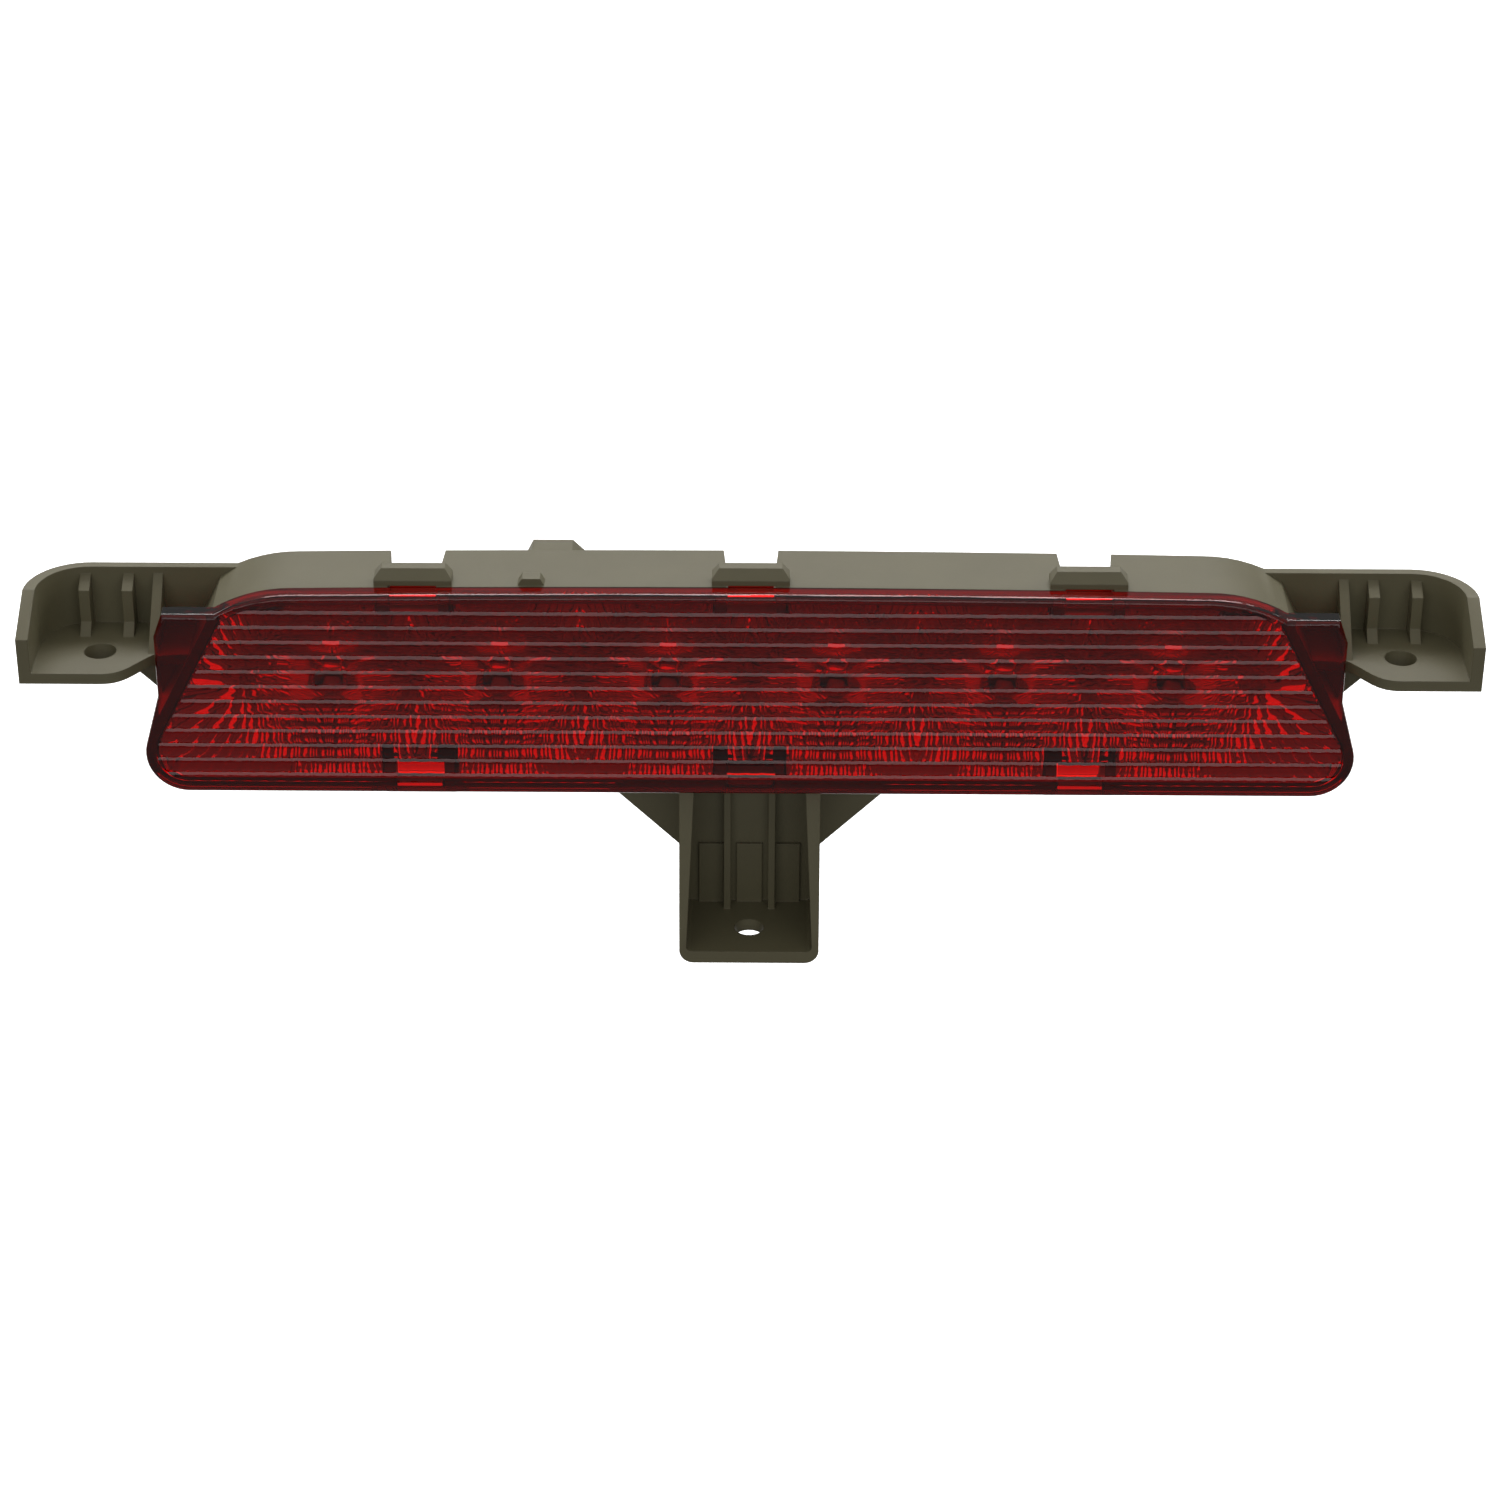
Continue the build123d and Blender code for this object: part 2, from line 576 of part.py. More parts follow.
with BuildPart() as surge_capacitor:
    with BuildSketch(upright(board_front_y)):
        with Locations((0, board_top_z - 4.5)):
            Rectangle(4.6, 3.2)
    extrude(amount=2.0)
    chamfer(surge_capacitor.faces().sort_by(Axis.Y)[0].edges(), 0.2)
surge_capacitor.part.label = "surge_capacitor"
component_parts += [reverse_diode.part, surge_capacitor.part]

# ---- connector --------------------------------------------------------------------------------
with BuildPart() as connector_header:
    with BuildSketch(upright(header_back_y)):
        with Locations((plug_x, plug_z)):
            Rectangle(window_width - 0.6, window_height - 1.4)
        for side in (-1, 1):
            with Locations((plug_x + side * pin_spacing / 2, plug_z)):
                Rectangle(pin_width, pin_thickness, mode=Mode.SUBTRACT)
    extrude(amount=header_back_y - board_back_y)
connector_header.part.label = "connector_header"

for side, pin_name in ((-1, "connector_pin_supply"), (1, "connector_pin_ground")):
    with BuildPart() as connector_pin:
        with BuildSketch(upright(pin_back_y)):
            with Locations((plug_x + side * pin_spacing / 2, plug_z)):
                Rectangle(pin_width, pin_thickness)
        extrude(amount=pin_back_y - board_back_y)
        chamfer(connector_pin.faces().sort_by(Axis.Y)[-1].edges(), 0.25)
    connector_pin.part.label = pin_name
    component_parts.append(connector_pin.part)

# ---- screws -----------------------------------------------------------------------------------
with BuildPart() as board_screws:
    for x in board_screw_xs:
        with BuildSketch(upright(board_front_y)):
            with Locations((x, led_z)):
                Circle(screw_head_radius)
        extrude(amount=screw_head)
        with BuildSketch(upright(board_front_y)):
            with Locations((x, led_z)):
                Circle(screw_shank_radius)
        extrude(amount=-screw_shank)
        with BuildSketch(upright(board_front_y - screw_head)):
            with Locations((x, led_z)):
                RegularPolygon(screw_socket_radius, 6)
        extrude(amount=-screw_socket, mode=Mode.SUBTRACT)
board_screws.part.label = "board_screws"

os.makedirs("parts", exist_ok=True)
for piece in [housing.part, lens.part, reflector.part, circuit_board.part, connector_header.part,
              board_screws.part] + led_parts + component_parts:
    export_step(piece, f"parts/{piece.label}.step")
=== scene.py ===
import math

import bmesh
import bpy
from mathutils import Matrix, Vector


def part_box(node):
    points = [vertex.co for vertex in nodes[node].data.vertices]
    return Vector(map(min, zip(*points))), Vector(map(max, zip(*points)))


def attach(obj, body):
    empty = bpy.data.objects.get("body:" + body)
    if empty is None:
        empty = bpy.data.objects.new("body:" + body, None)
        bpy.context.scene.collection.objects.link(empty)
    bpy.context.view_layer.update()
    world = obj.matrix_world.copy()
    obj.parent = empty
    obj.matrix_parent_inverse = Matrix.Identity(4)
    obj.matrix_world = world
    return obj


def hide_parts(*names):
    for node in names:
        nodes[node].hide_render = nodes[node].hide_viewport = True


# Third brake light in Blender: the red ribbed lens, the fluted reflector behind it and the
# moulded housing are shaped here; lamps, board and connector are the frame's own nodes.

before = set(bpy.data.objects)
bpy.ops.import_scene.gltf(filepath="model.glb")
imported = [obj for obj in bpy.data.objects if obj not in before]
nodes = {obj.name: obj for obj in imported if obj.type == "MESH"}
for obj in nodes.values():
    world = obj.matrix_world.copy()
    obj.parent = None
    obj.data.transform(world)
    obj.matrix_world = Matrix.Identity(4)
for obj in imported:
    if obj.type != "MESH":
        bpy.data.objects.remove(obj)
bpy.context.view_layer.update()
MM = 0.001

# ---- sizes, mm ----------------------------------------------------------------------------------
lens_box_low, lens_box_high = (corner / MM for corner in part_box("lens"))
reflector_low, _ = (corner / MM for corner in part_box("reflector"))
hook_stand = 0.75                # the lens's hooks stand this far out of its top and bottom edges
face_y = lens_box_low.y
lens_half_width = lens_box_high.x
lens_bottom_z = lens_box_low.z + hook_stand
lens_top_z = lens_box_high.z - hook_stand
lamp_z = (lens_bottom_z + lens_top_z) / 2

crown_half_width = 92.0
crown_drop = 0.7
shoulder_radius = 30.0
shoulder_below_top = 5.4
side_lean = math.radians(26.9)
lower_corner_radius = 8.6
curve_steps = 8                  # for the crown and each shoulder
corner_steps = 12

lamp_pitch = 34.35
lamp_xs = [(i - 2.5) * lamp_pitch for i in range(6)]
snap_xs = (-67.9, 0.0, 67.9)


# ---- outline shared by lens and reflector -------------------------------------------------------
def arc(start, end, radius, steps):
    """Points from start to end on a circle, centre to the right of the way; the end is left out."""
    chord = end - start
    middle = (start + end) / 2
    height = math.sqrt(radius ** 2 - chord.length_squared / 4)
    centre = middle + Vector((chord.y, -chord.x)).normalized() * height
    first = math.atan2(*(start - centre).yx)
    last = math.atan2(*(end - centre).yx)
    angles = [first + (last - first) * i / steps for i in range(steps)]
    return [centre + Vector((math.cos(a), math.sin(a))) * radius for a in angles]


def outline(side_inset, top_inset, bottom_inset):
    """The lens's outline in X and Z, clockwise from the top centre, drawn in by three insets."""
    crown_end = Vector((crown_half_width, lens_top_z - crown_drop))
    corner = Vector((lens_half_width - lower_corner_radius, lens_bottom_z + lower_corner_radius))
    foot = corner + Vector((math.cos(side_lean), math.sin(side_lean))) * lower_corner_radius
    shoulder_z = lens_top_z - shoulder_below_top
    shoulder = Vector((foot.x - (shoulder_z - foot.y) * math.tan(side_lean), shoulder_z))
    crown_radius = (crown_half_width ** 2 + crown_drop ** 2) / (2 * crown_drop)
    right = arc(Vector((0, lens_top_z)), crown_end, crown_radius, curve_steps)
    right += arc(crown_end, shoulder, shoulder_radius, curve_steps)
    right += [shoulder]
    bottom = Vector((corner.x, lens_bottom_z))
    right += arc(foot, bottom, lower_corner_radius, corner_steps)
    right += [bottom]
    left = [Vector((-p.x, p.y)) for p in reversed(right[1:])]
    points = right + left
    inset = []
    for i, point in enumerate(points):
        along = (points[(i + 1) % len(points)] - points[i - 1]).normalized()
        inward = Vector((along.y, -along.x))
        vertical = bottom_inset if inward.y > 0 else top_inset
        inset.append(point + Vector((inward.x * side_inset, inward.y * vertical)))
    return inset


# ---- small tools --------------------------------------------------------------------------------
def new_object(name, mesh):
    piece = bpy.data.objects.new(name, mesh)
    bpy.context.scene.collection.objects.link(piece)
    return piece


def from_bmesh(name, bm):
    """Object from a bmesh in millimetres."""
    bm.transform(Matrix.Scale(MM, 4))
    mesh = bpy.data.meshes.new(name)
    bm.to_mesh(mesh)
    bm.free()
    return new_object(name, mesh)


def applied(piece):
    """Makes the result of the piece's modifiers its mesh."""
    evaluated = piece.evaluated_get(bpy.context.evaluated_depsgraph_get())
    piece.data = bpy.data.meshes.new_from_object(evaluated)
    piece.modifiers.clear()


def settled(piece, smooth_angle):
    """Applies the modifiers and shades smooth up to an angle in degrees, with flat areas kept flat."""
    applied(piece)
    piece.data.shade_smooth()
    piece.data.set_sharp_from_angle(angle=math.radians(smooth_angle))
    weighted = piece.modifiers.new("normals", "WEIGHTED_NORMAL")
    weighted.keep_sharp = True
    weighted.weight = 50
    applied(piece)
    return piece


def cut(piece, cutter, operation="DIFFERENCE"):
    """Adds a Boolean modifier; the DIFFERENCE takes the cutter's shape away from the piece."""
    modifier = piece.modifiers.new("cut", "BOOLEAN")
    modifier.operation = operation
    modifier.solver = "MANIFOLD"
    modifier.object = cutter


weld_gap = 0.002                 # corners nearer than this are one corner


def merged_copy(name, node):
    """A copy of a CAD node's shape with its loose triangles joined, without its stored normals."""
    bm = bmesh.new()
    bm.from_mesh(nodes[node].data)
    bmesh.ops.remove_doubles(bm, verts=bm.verts, dist=weld_gap * MM)
    bm.verts.index_update()
    mesh = bpy.data.meshes.new(name)
    mesh.from_pydata([vertex.co[:] for vertex in bm.verts], [],
                     [[vertex.index for vertex in face.verts] for face in bm.faces])
    bm.free()
    return new_object(name, mesh)


def prism(name, points, front_y, back_y):
    """Closed prism with an outline in X and Z."""
    bm = bmesh.new()
    front = [bm.verts.new((p.x, front_y, p.y)) for p in points]
    back = [bm.verts.new((p.x, back_y, p.y)) for p in points]
    bm.faces.new(reversed(front))
    bm.faces.new(back)
    for i in range(len(points)):
        j = (i + 1) % len(points)
        bm.faces.new((front[i], front[j], back[j], back[i]))
    bmesh.ops.recalc_face_normals(bm, faces=bm.faces)
    return from_bmesh(name, bm)


# ---- lens: a grid of small pillow optics on the outer face --------------------------------------
pillow_pitch_x = 3.40
pillow_pitch_z = 3.41
pillow_top_z = 83.4              # middle line of the top row
pillow_middle_x = 0.85           # middle line of the column nearest to the lens's centre
pillow_columns = 72
pillow_rows = 14
pillow_row_depth = 0.46          # depth of the creases between rows
pillow_row_power = 2.4           # above 2 the pillows are flatter and the creases tighter
pillow_column_depth = 0.17
pillow_column_power = 2.0
pillow_steps_x = 4
pillow_steps_z = 8
pillow_below_face = 0.02         # the highest points lie this far under the smooth border
slab_thickness = 2.0
border_side = 2.4
border_top = 1.4
border_bottom = 2.8
border_reach = 1.5               # of the border's prism, to each side of the face
lens_smooth_angle = 40
skirt_depth = 4.1                # from the face to the back of the lens's skirt
seat_gap = 0.06                  # lets light in between the lens's skirt and the housing's wall
at_skirt = 0.001                 # a corner this near to the back of the skirt lies on it


def pillow_tree():
    """Geometry Nodes: a slab whose back is the negative of the pillow grid."""
    tree = bpy.data.node_groups.new("pillow_slab", "GeometryNodeTree")
    tree.interface.new_socket("Geometry", in_out="OUTPUT", socket_type="NodeSocketGeometry")
    for name in ("Columns", "Rows", "Steps X", "Steps Z"):
        tree.interface.new_socket(name, in_out="INPUT", socket_type="NodeSocketInt")
    for name in ("Pitch X", "Pitch Z", "Column Depth", "Row Depth", "Thickness"):
        tree.interface.new_socket(name, in_out="INPUT", socket_type="NodeSocketFloat")
    tree.interface.new_socket("Centre", in_out="INPUT", socket_type="NodeSocketVector")
    tree.interface.new_socket("Material", in_out="INPUT", socket_type="NodeSocketMaterial")
    given = tree.nodes.new("NodeGroupInput").outputs

    def math_node(operation, *values):
        return add(tree, "ShaderNodeMath", dict(enumerate(values)), operation=operation).outputs[0]

    across = math_node("MULTIPLY", given["Columns"], given["Steps X"])
    upright = math_node("MULTIPLY", given["Rows"], given["Steps Z"])
    size = add(tree, "ShaderNodeCombineXYZ", {
        "X": math_node("MULTIPLY", given["Columns"], given["Pitch X"]),
        "Y": given["Thickness"],
        "Z": math_node("MULTIPLY", given["Rows"], given["Pitch Z"])}).outputs[0]
    slab = add(tree, "GeometryNodeMeshCube", {
        "Size": size, "Vertices X": math_node("ADD", across, 1.0), "Vertices Y": 2,
        "Vertices Z": math_node("ADD", upright, 1.0)}).outputs["Mesh"]
    place = add(tree, "ShaderNodeSeparateXYZ", {
        0: add(tree, "GeometryNodeInputPosition").outputs[0]}).outputs

    def sink_of(position, pitch, count, power, depth):
        """0 on the middle line of each pillow, the full depth in the creases beside it."""
        cells = math_node("ADD", math_node("DIVIDE", position, pitch),
                          math_node("MULTIPLY", count, 0.5))
        to_crease = math_node(
            "MULTIPLY", math_node("PINGPONG", math_node("ADD", cells, 0.5), 0.5), 2.0)
        from_middle = math_node("SUBTRACT", 1.0, to_crease)
        return math_node("MULTIPLY", math_node("POWER", from_middle, power), depth)

    sink = math_node(
        "ADD",
        sink_of(place["X"], given["Pitch X"], given["Columns"], pillow_column_power,
                given["Column Depth"]),
        sink_of(place["Z"], given["Pitch Z"], given["Rows"], pillow_row_power,
                given["Row Depth"]))
    shaped = add(tree, "GeometryNodeSetPosition", {
        "Geometry": slab, "Selection": math_node("GREATER_THAN", place["Y"], 0.0),
        "Offset": add(tree, "ShaderNodeCombineXYZ", {"Y": sink}).outputs[0]}).outputs[0]
    moved = add(tree, "GeometryNodeTransform", {
        "Geometry": shaped, "Translation": given["Centre"]}).outputs[0]
    joined = add(tree, "GeometryNodeRealizeInstances", {"Geometry": moved}).outputs[0]
    dressed = add(tree, "GeometryNodeSetMaterial", {
        "Geometry": joined, "Material": given["Material"]}).outputs[0]
    add(tree, "NodeGroupOutput", {"Geometry": dressed})
    return tree


def set_inputs(modifier, values):
    """Sets a Geometry Nodes modifier's inputs by the names of its tree's sockets."""
    for item in modifier.node_group.interface.items_tree:
        if item.in_out == "INPUT" and item.name in values:
            modifier[item.identifier] = values[item.name]


def make_lens():
    """The CAD lens, its face cut by the pillow slab inside a smooth border."""
    slab = new_object("pillow_slab", bpy.data.meshes.new("pillow_slab"))
    modifier = slab.modifiers.new("pillows", "NODES")
    modifier.node_group = pillow_tree()
    slab_top_z = pillow_top_z + pillow_pitch_z
    centre_z = slab_top_z - pillow_rows * pillow_pitch_z / 2
    centre_y = face_y + pillow_below_face - slab_thickness / 2
    set_inputs(modifier, {
        "Columns": pillow_columns, "Rows": pillow_rows,
        "Steps X": pillow_steps_x, "Steps Z": pillow_steps_z,
        "Pitch X": pillow_pitch_x * MM, "Pitch Z": pillow_pitch_z * MM,
        "Column Depth": pillow_column_depth * MM, "Row Depth": pillow_row_depth * MM,
        "Thickness": slab_thickness * MM, "Material": red_lens,
        "Centre": (pillow_middle_x * MM, centre_y * MM, centre_z * MM)})
    applied(slab)
    border = prism("pillow_border", outline(border_side, border_top, border_bottom),
                   face_y - border_reach, face_y + border_reach)
    cut(slab, border, "INTERSECT")
    applied(slab)
    lens = merged_copy("lens_moulding", "lens")
    cut(lens, slab)
    settled(lens, lens_smooth_angle)
    skirt_back = (face_y + skirt_depth) * MM
    for vertex in lens.data.vertices:
        if abs(vertex.co.y - skirt_back) < at_skirt * MM:
            vertex.co.y -= seat_gap * MM
    for helper in (slab, border):
        bpy.data.objects.remove(helper)
    return lens


# ---- housing: the CAD solid with its curved walls shaded smooth ---------------------------------
housing_smooth_angle = 30


def make_housing():
    return settled(merged_copy("housing_moulding", "housing"), housing_smooth_angle)


# ---- reflector: six fluted bowls -----------------------------------------------------------------
rim_y = reflector_low.y
vertex_y = face_y + 11.6
bowl_4f = 58.0                   # a bowl's depth at a radius is the radius squared over this
bowl_wall = 1.3
bowl_rings = 9
frame_inset = 2.35               # from the lens's outline to the reflector's
collar_y = face_y + 7.5
bowl_start = 5.0                 # radius where the bowl meets the collar's foot
flutes = 120
steps_per_flute = 3
flute_depth = 0.22
flute_full_radius = 15.0         # the flutes deepen outwards until here
flute_at_collar = 0.25           # share of their depth that is left where they start
flute_backing = 0.1              # extra wall behind the flutes
notch_half_width = 7.6           # clear of the snap pockets
notch_depth = 7.4
notch_back_y = vertex_y + 5
reflector_smooth_angle = 30
far = 1e9
tiny = 1e-9

# Radius and Y along the collar of a lamp: forwards through its hole, then down two steps.
collar = [
    (2.8, vertex_y + bowl_wall), (2.8, collar_y + 0.1), (2.85, collar_y),
    (3.7, collar_y + 0.41), (3.75, collar_y + 0.6), (3.85, collar_y + 1.7),
    (3.9, collar_y + 1.75), (4.75, collar_y + 2.16), (4.8, collar_y + 2.3),
    (4.9, vertex_y - 0.6)]


def reach(centre, angle, polygon):
    """Distance from centre to a convex polygon's edge at an angle."""
    ray = Vector((math.cos(angle), math.sin(angle)))
    best = far
    for i, start in enumerate(polygon):
        edge = polygon[(i + 1) % len(polygon)] - start
        cross = ray.x * edge.y - ray.y * edge.x
        if abs(cross) < tiny:
            continue
        gap = start - centre
        along_ray = (gap.x * edge.y - gap.y * edge.x) / cross
        if along_ray > 0:
            best = min(best, along_ray)
    return best


def make_reflector():
    """Six bowls joined along the seams between them, with a collar round each lamp's hole."""
    frame_line = outline(frame_inset, frame_inset, frame_inset)
    bm = bmesh.new()
    count = flutes * steps_per_flute
    last = len(lamp_xs) - 1
    for number, lamp_x in enumerate(lamp_xs):
        centre = Vector((lamp_x, lamp_z))
        left = lamp_x - lamp_pitch / 2 if number > 0 else -lens_half_width
        right = lamp_x + lamp_pitch / 2 if number < last else lens_half_width
        columns = []
        on_seam = []
        for k in range(count):
            angle = 2 * math.pi * k / count
            c, s = math.cos(angle), math.sin(angle)
            limit = reach(centre, angle, frame_line)
            if c > tiny:
                side = (right - lamp_x) / c
            elif c < -tiny:
                side = (left - lamp_x) / c
            else:
                side = far
            on_seam.append(side < limit)
            edge = min(limit, side)
            ripple = flute_depth * abs(math.sin(math.pi * k / steps_per_flute))
            front = []
            for ring in range(bowl_rings + 1):
                radius = bowl_start + (edge - bowl_start) * ring / bowl_rings
                y = max(rim_y, vertex_y - radius ** 2 / bowl_4f)
                share = flute_at_collar if ring == 0 else 1.0
                wave = ripple * min(1.0, radius / flute_full_radius) * share
                front.append((radius, y + wave))
            back = [(radius, y + bowl_wall + flute_backing) for radius, y in reversed(front)]
            back[-1] = (bowl_start, vertex_y + bowl_wall)
            columns.append([bm.verts.new((lamp_x + r * c, y, lamp_z + r * s))
                            for r, y in collar + front + back])
        edge_at = len(collar) + bowl_rings
        for k in range(count):
            one, two = columns[k], columns[(k + 1) % count]
            for j in range(len(one)):
                if j == edge_at and on_seam[k] and on_seam[(k + 1) % count]:
                    continue
                m = (j + 1) % len(one)
                bm.faces.new((one[j], two[j], two[m], one[m]))
    bmesh.ops.remove_doubles(bm, verts=bm.verts, dist=0.001)
    bmesh.ops.recalc_face_normals(bm, faces=bm.faces)
    reflector = from_bmesh("reflector_bowls", bm)
    for x in snap_xs:
        for z in (lens_top_z, lens_bottom_z):
            corners = [Vector((x + i * notch_half_width, z + j * notch_depth))
                       for i, j in ((-1, 1), (1, 1), (1, -1), (-1, -1))]
            notch = prism("notch", corners, face_y, notch_back_y)
            cut(reflector, notch)
            applied(reflector)
            bpy.data.objects.remove(notch)
    return settled(reflector, reflector_smooth_angle)


# ---- materials ----------------------------------------------------------------------------------
def linear(hex_colour):
    """sRGB hex to linear RGBA."""
    values = [int(hex_colour[i:i + 2], 16) / 255 for i in (0, 2, 4)]
    return [v / 12.92 if v <= 0.04045 else ((v + 0.055) / 1.055) ** 2.4 for v in values] + [1.0]


def add(tree, kind, inputs=None, **settings):
    """Adds a node. Each input is a value, or a socket that is linked to it."""
    made = tree.nodes.new(kind)
    for name, value in settings.items():
        setattr(made, name, value)
    for name, value in (inputs or {}).items():
        if isinstance(value, bpy.types.NodeSocket):
            tree.links.new(value, made.inputs[name])
        else:
            made.inputs[name].default_value = value
    return made


def new_material(name):
    material = bpy.data.materials.new(name)
    material.use_nodes = True
    material.node_tree.nodes.clear()
    return material, material.node_tree


def finish_material(tree, shader_inputs, volume=None):
    shader = add(tree, "ShaderNodeBsdfPrincipled", shader_inputs)
    output = add(tree, "ShaderNodeOutputMaterial", {"Surface": shader.outputs[0]})
    if volume:
        tree.links.new(volume, output.inputs["Volume"])


edge_round = 0.3                 # edges of a moulding catch the light as if rounded this much
mottle_mm = 9
grain_height = 0.05


def moulded(name, light, dark, grain_mm, roughness, bump):
    """Moulded plastic: a fine etched grain from the mould, a faint flow mottle and soft edges."""
    material, tree = new_material(name)
    where = add(tree, "ShaderNodeTexCoord").outputs["Object"]
    mottle = add(tree, "ShaderNodeTexNoise", {"Vector": where, "Scale": 1 / (mottle_mm * MM), "Detail": 3.0})
    colour = add(tree, "ShaderNodeMix", {
        "Factor": mottle.outputs[0], 6: linear(dark), 7: linear(light)}, data_type="RGBA")
    grain = add(tree, "ShaderNodeTexNoise", {"Vector": where, "Scale": 1 / (grain_mm * MM), "Detail": 2.0})
    rough = add(tree, "ShaderNodeMapRange", {
        "Value": grain.outputs[0], "To Min": roughness - 0.05, "To Max": roughness + 0.07})
    edges = add(tree, "ShaderNodeBevel", {"Radius": edge_round * MM}, samples=4)
    normal = add(tree, "ShaderNodeBump", {
        "Height": grain.outputs[0], "Strength": bump, "Distance": grain_height * MM,
        "Normal": edges.outputs[0]})
    finish_material(tree, {"Base Color": colour.outputs[2], "Roughness": rough.outputs[0],
                           "Normal": normal.outputs[0]})
    return material


def red_acrylic():
    """Clear red PMMA from a polished mould: its red deepens with the thickness light crosses."""
    material, tree = new_material("red_pmma_polished")
    where = add(tree, "ShaderNodeTexCoord").outputs["Object"]
    flow = add(tree, "ShaderNodeTexNoise", {"Vector": where, "Scale": 1 / (2.2 * MM), "Detail": 1.0})
    normal = add(tree, "ShaderNodeBump", {
        "Height": flow.outputs[0], "Strength": 0.25, "Distance": 0.03 * MM})
    absorbed = add(tree, "ShaderNodeVolumeAbsorption", {
        "Color": (0.93, 0.03, 0.01, 1.0), "Density": 900.0})
    finish_material(tree, {"Base Color": linear("F03A2C"), "Roughness": 0.02, "IOR": 1.49,
                           "Transmission Weight": 1.0, "Normal": normal.outputs[0]},
                    absorbed.outputs[0])
    return material


def metallised():
    """Vacuum-metallised plastic: bright mirror with the slight haze of its lacquer."""
    material, tree = new_material("vacuum_metallised")
    where = add(tree, "ShaderNodeTexCoord").outputs["Object"]
    haze = add(tree, "ShaderNodeTexNoise", {"Vector": where, "Scale": 1 / (3 * MM), "Detail": 2.0})
    rough = add(tree, "ShaderNodeMapRange", {"Value": haze.outputs[0], "To Min": 0.03, "To Max": 0.08})
    finish_material(tree, {"Base Color": linear("D9D8D6"), "Metallic": 1.0,
                           "Roughness": rough.outputs[0]})
    return material


def clear_epoxy():
    """Lamp dome: cast epoxy, milky enough to show as a pale spot with its light off."""
    material, tree = new_material("clear_epoxy")
    where = add(tree, "ShaderNodeTexCoord").outputs["Object"]
    swirl = add(tree, "ShaderNodeTexNoise", {"Vector": where, "Scale": 1 / (1.5 * MM)})
    rough = add(tree, "ShaderNodeMapRange", {"Value": swirl.outputs[0], "To Min": 0.05, "To Max": 0.15})
    finish_material(tree, {"Base Color": linear("F3EFEA"), "Roughness": rough.outputs[0], "IOR": 1.53,
                           "Transmission Weight": 0.4})
    return material


def plated(name, colour, roughness, scratch_mm):
    """Plated metal, its gloss uneven with fine wear."""
    material, tree = new_material(name)
    where = add(tree, "ShaderNodeTexCoord").outputs["Object"]
    scratch = add(tree, "ShaderNodeTexNoise", {
        "Vector": where, "Scale": 1 / (scratch_mm * MM), "Detail": 4.0})
    rough = add(tree, "ShaderNodeMapRange", {
        "Value": scratch.outputs[0], "To Min": roughness - 0.08, "To Max": roughness + 0.12})
    finish_material(tree, {"Base Color": linear(colour), "Metallic": 1.0, "Roughness": rough.outputs[0]})
    return material


def paper_floor():
    """Matte white paper for the stage, with a glow of its own that keeps shadows off it."""
    material, tree = new_material("white_paper")
    where = add(tree, "ShaderNodeTexCoord").outputs["Object"]
    fibre = add(tree, "ShaderNodeTexNoise", {"Vector": where, "Scale": 1 / (2 * MM), "Detail": 2.0})
    rough = add(tree, "ShaderNodeMapRange", {"Value": fibre.outputs[0], "To Min": 0.85, "To Max": 0.95})
    finish_material(tree, {"Base Color": linear("FAFAFA"), "Roughness": rough.outputs[0],
                           "Specular IOR Level": 0.1, "Emission Color": (1.0, 1.0, 1.0, 1.0),
                           "Emission Strength": 0.8})
    return material


def dress(piece, material):
    piece.data.materials.clear()
    piece.data.materials.append(material)


abs_moulded = moulded("abs_moulded_olive_grey", "6D684F", "645F48", 0.22, 0.48, 0.5)
package_white = moulded("lamp_package_white", "E4E1D8", "D8D4C8", 0.15, 0.45, 0.2)
solder_mask = moulded("solder_mask_green", "1E5A34", "174A2A", 0.4, 0.35, 0.3)
component_black = moulded("component_black", "232323", "191919", 0.1, 0.5, 0.3)
ceramic_tan = moulded("ceramic_tan", "B08A5C", "9D7A50", 0.12, 0.4, 0.2)
pbt_black = moulded("pbt_black", "1D1D1C", "151515", 0.2, 0.42, 0.4)
red_lens = red_acrylic()
mirror = metallised()
epoxy = clear_epoxy()
tin = plated("tin_plate", "C9C5BB", 0.3, 0.1)
zinc = plated("zinc_plate", "AEB0B3", 0.35, 0.08)

# ---- pieces -------------------------------------------------------------------------------------
lens = make_lens()
dress(lens, red_lens)
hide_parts("lens")
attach(lens, "root")

housing = make_housing()
dress(housing, abs_moulded)
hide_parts("housing")
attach(housing, "root")

reflector = make_reflector()
dress(reflector, mirror)
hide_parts("reflector")
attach(reflector, "root")

node_materials = {
    "housing": abs_moulded, "circuit_board": solder_mask, "led_body": package_white,
    "led_dome": epoxy, "resistor": component_black, "reverse_diode": component_black,
    "surge_capacitor": ceramic_tan, "connector_header": pbt_black, "connector_pin": tin,
    "board_screws": zinc}
for name, node in nodes.items():
    for start, material in node_materials.items():
        if name.startswith(start):
            dress(node, material)

# ---- stage, light and camera, in metres ---------------------------------------------------------
floor_drop = 0.2
floor_half = 6.0
bm = bmesh.new()
corners = [bm.verts.new((x, y, -floor_drop)) for x, y in (
    (-floor_half, -floor_half), (floor_half, -floor_half), (floor_half, floor_half),
    (-floor_half, floor_half))]
bm.faces.new(corners)
floor_mesh = bpy.data.meshes.new("floor")
bm.to_mesh(floor_mesh)
bm.free()
floor = new_object("floor", floor_mesh)
dress(floor, paper_floor())
floor.visible_diffuse = False
floor.visible_glossy = False
floor.visible_transmission = False

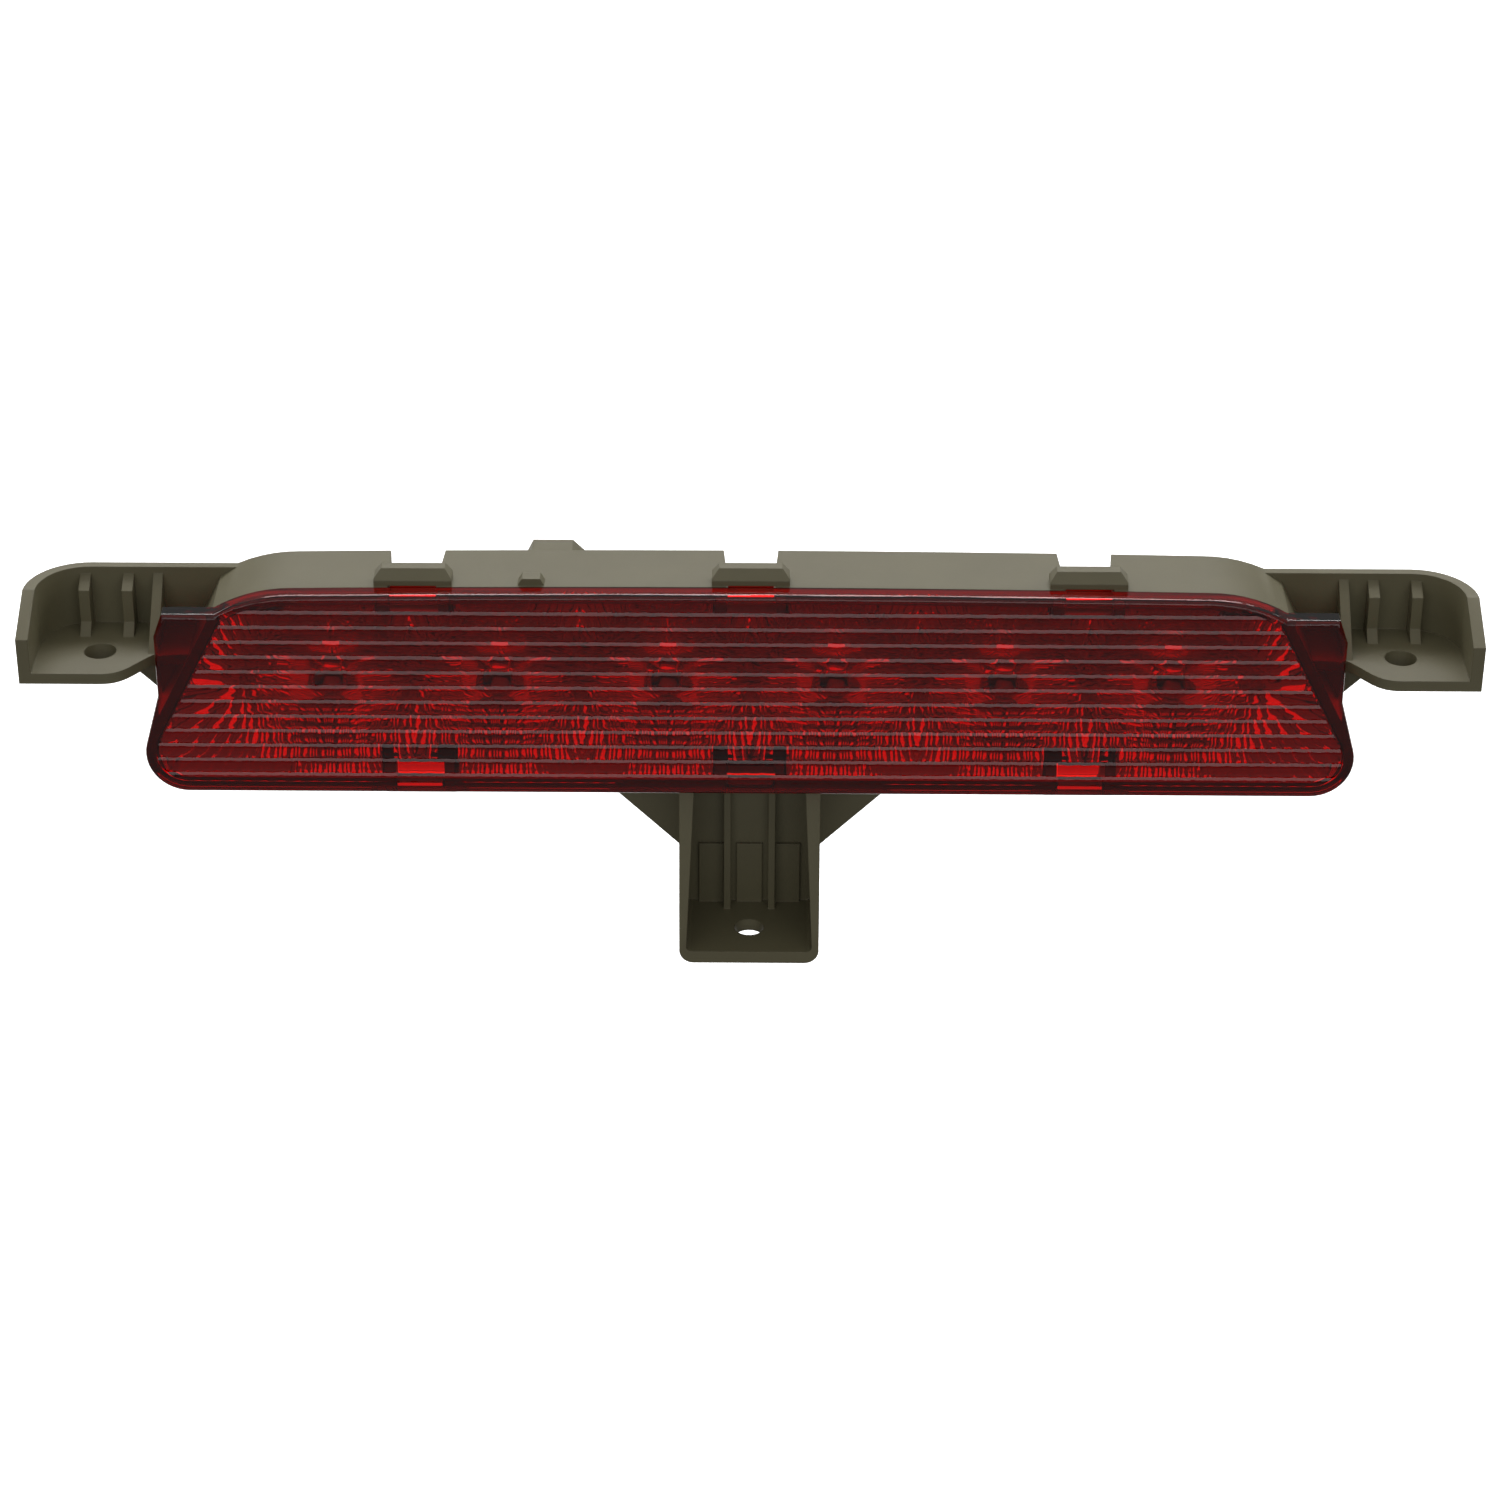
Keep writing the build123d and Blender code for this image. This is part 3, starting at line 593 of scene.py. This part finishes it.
world = bpy.data.worlds.new("soft_room")
bpy.context.scene.world = world
world.use_nodes = True
sky = world.node_tree
sky.nodes.clear()
direction = add(sky, "ShaderNodeSeparateXYZ", {
    0: add(sky, "ShaderNodeTexCoord").outputs["Generated"]}).outputs


def sky_math(operation, *values):
    return add(sky, "ShaderNodeMath", dict(enumerate(values)), operation=operation).outputs[0]


room_dim = 0.08                  # strength of the room's light from the sides and below
room_overhead = 0.5              # and from straight above
table_share = 0.14               # of light thrown up in front of the lens
window_share = 0.1               # of light from behind, above the table's level

above = add(sky, "ShaderNodeMapRange", {
    "Value": direction["Z"], "From Min": 0.2, "From Max": 0.9,
    "To Min": room_dim, "To Max": room_overhead},
    interpolation_type="SMOOTHSTEP").outputs[0]
behind = add(sky, "ShaderNodeMapRange", {
    "Value": direction["Y"], "From Min": 0.2, "From Max": 0.6},
    interpolation_type="SMOOTHSTEP").outputs[0]
below = add(sky, "ShaderNodeMapRange", {
    "Value": direction["Z"], "From Min": 0.1, "From Max": -0.2},
    interpolation_type="SMOOTHSTEP").outputs[0]
in_front = add(sky, "ShaderNodeMapRange", {
    "Value": direction["Y"], "From Min": 0.0, "From Max": -0.4},
    interpolation_type="SMOOTHSTEP").outputs[0]
table_glow = sky_math("MULTIPLY", sky_math("MULTIPLY", in_front, below), table_share)
window_glow = sky_math("MULTIPLY", behind, sky_math("ADD", below, window_share))
strength = sky_math("ADD", above, sky_math("ADD", table_glow, window_glow))
seen = add(sky, "ShaderNodeLightPath").outputs["Is Camera Ray"]
shown = add(sky, "ShaderNodeMix", {
    "Factor": seen, 2: strength, 3: 1.0}, data_type="FLOAT").outputs[0]
light = add(sky, "ShaderNodeBackground", {"Color": (1.0, 0.985, 0.96, 1.0), "Strength": shown})
add(sky, "ShaderNodeOutputWorld", {"Surface": light.outputs[0]})


def soft_light(name, place, target, size, watts):
    data = bpy.data.lights.new(name, "AREA")
    data.shape = "RECTANGLE"
    data.size, data.size_y = size
    data.energy = watts
    lamp = bpy.data.objects.new(name, data)
    lamp.location = place
    lamp.rotation_euler = (Vector(target) - Vector(place)).to_track_quat("-Z", "Y").to_euler()
    bpy.context.scene.collection.objects.link(lamp)


middle = Vector((0, 0, lamp_z * MM))
soft_light("rear_softbox", (0, 0.66, 0.82), middle, (0.9, 0.35), 5.5)
soft_light("left_softbox", (-1.0, 0.45, 0.5), middle, (0.6, 0.6), 3.0)
soft_light("right_softbox", (1.0, 0.45, 0.5), middle, (0.6, 0.6), 3.0)
soft_light("front_softbox", (0, -1.15, 0.5), middle, (1.9, 0.5), 3.8)

camera_data = bpy.data.cameras.new("camera")
camera_data.lens = 96.0
camera_data.sensor_width = 36.0
camera = bpy.data.objects.new("camera", camera_data)
camera_distance = 0.8164
camera_elevation = math.radians(30)
camera_roll = math.radians(0.315)
aim_height = 0.0504
aim = Vector((0, face_y * MM, aim_height))
to_camera = Vector((0, -math.cos(camera_elevation), math.sin(camera_elevation)))
camera.location = aim + to_camera * camera_distance
tilt = Matrix.Rotation(math.pi / 2 - camera_elevation, 3, "X")
camera.rotation_euler = (tilt @ Matrix.Rotation(camera_roll, 3, "Z")).to_euler()
bpy.context.scene.collection.objects.link(camera)
bpy.context.scene.camera = camera
bpy.context.scene.view_settings.view_transform = "Standard"
